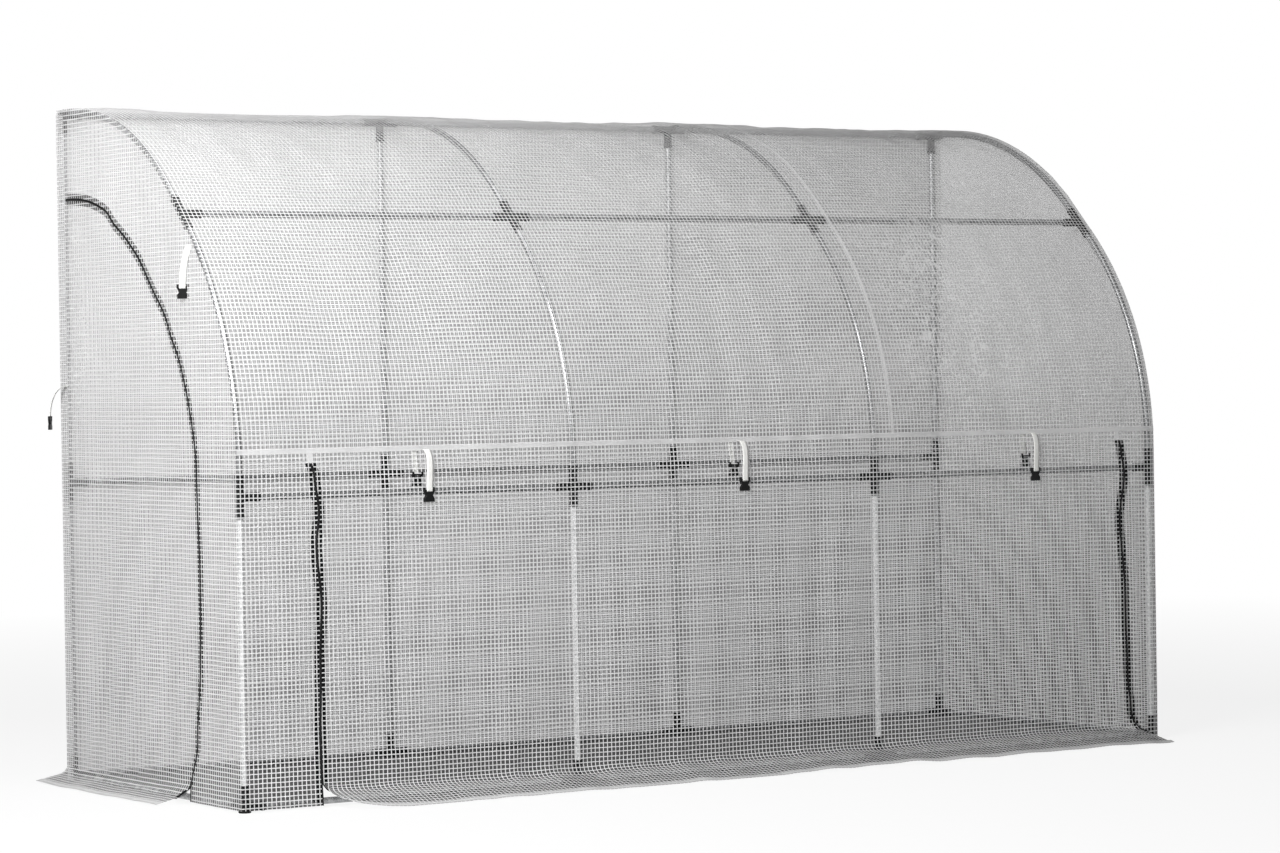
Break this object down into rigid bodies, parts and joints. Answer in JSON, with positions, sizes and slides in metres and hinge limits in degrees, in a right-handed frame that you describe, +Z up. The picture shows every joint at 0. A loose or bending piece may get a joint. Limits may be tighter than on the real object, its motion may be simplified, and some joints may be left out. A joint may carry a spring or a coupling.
{
  "type": "lean-to polytunnel greenhouse",
  "caption": "Walk-in lean-to tunnel greenhouse: plugged steel tube ribs and rails under a grid-reinforced film cover with a zipped end door and a zipped roll-up front.",
  "frame": {"origin": "centre of the ground rectangle that the whole greenhouse covers, at floor level", "axes": "+X along the length, front with the roll-up flap facing -Y, +Z up"},
  "size_m": [3.433, 1.328, 2.0465],
  "materials": {
    "galvanised_tube": "galvanised, satin",
    "black_fitting": "moulded, matt",
    "grid_film": "clear film with a white thread grid",
    "zip_tape": "woven tape",
    "white_webbing": "woven",
    "black_buckle": "moulded, satin"
  },
  "bodies": {
    "root": {"back_base_connectors": "black_fitting", "back_base_rail": "galvanised_tube", "back_panel": "grid_film", "back_waist_connectors": "black_fitting", "back_waist_rail": "galvanised_tube", "front_base_connectors": "black_fitting", "front_base_rail": "galvanised_tube", "front_buckles": "black_buckle", "front_flap": "grid_film", "front_left_panel": "grid_film", "front_left_zip": "zip_tape", "front_right_panel": "grid_film", "front_right_zip": "zip_tape", "front_straps": "white_webbing", "front_waist_connectors": "black_fitting", "front_waist_rail": "galvanised_tube", "left_base_rail": "galvanised_tube", "left_door": "grid_film", "left_door_zip": "zip_tape", "left_end_buckles": "black_buckle", "left_end_panel": "grid_film", "left_end_straps": "white_webbing", "purlin_connectors": "black_fitting", "purlin_rail": "galvanised_tube", "rib_1_arch": "galvanised_tube", "rib_1_back_post": "galvanised_tube", "rib_1_front_leg": "galvanised_tube", "rib_2_arch": "galvanised_tube", "rib_2_back_post": "galvanised_tube", "rib_2_front_leg": "galvanised_tube", "rib_3_arch": "galvanised_tube", "rib_3_back_post": "galvanised_tube", "rib_3_front_leg": "galvanised_tube", "rib_4_arch": "galvanised_tube", "rib_4_back_post": "galvanised_tube", "rib_4_front_leg": "galvanised_tube", "ridge_connectors": "black_fitting", "ridge_rail": "galvanised_tube", "right_base_rail": "galvanised_tube", "right_end_panel": "grid_film", "roof_cover": "grid_film"}
  },
  "joints": []
}
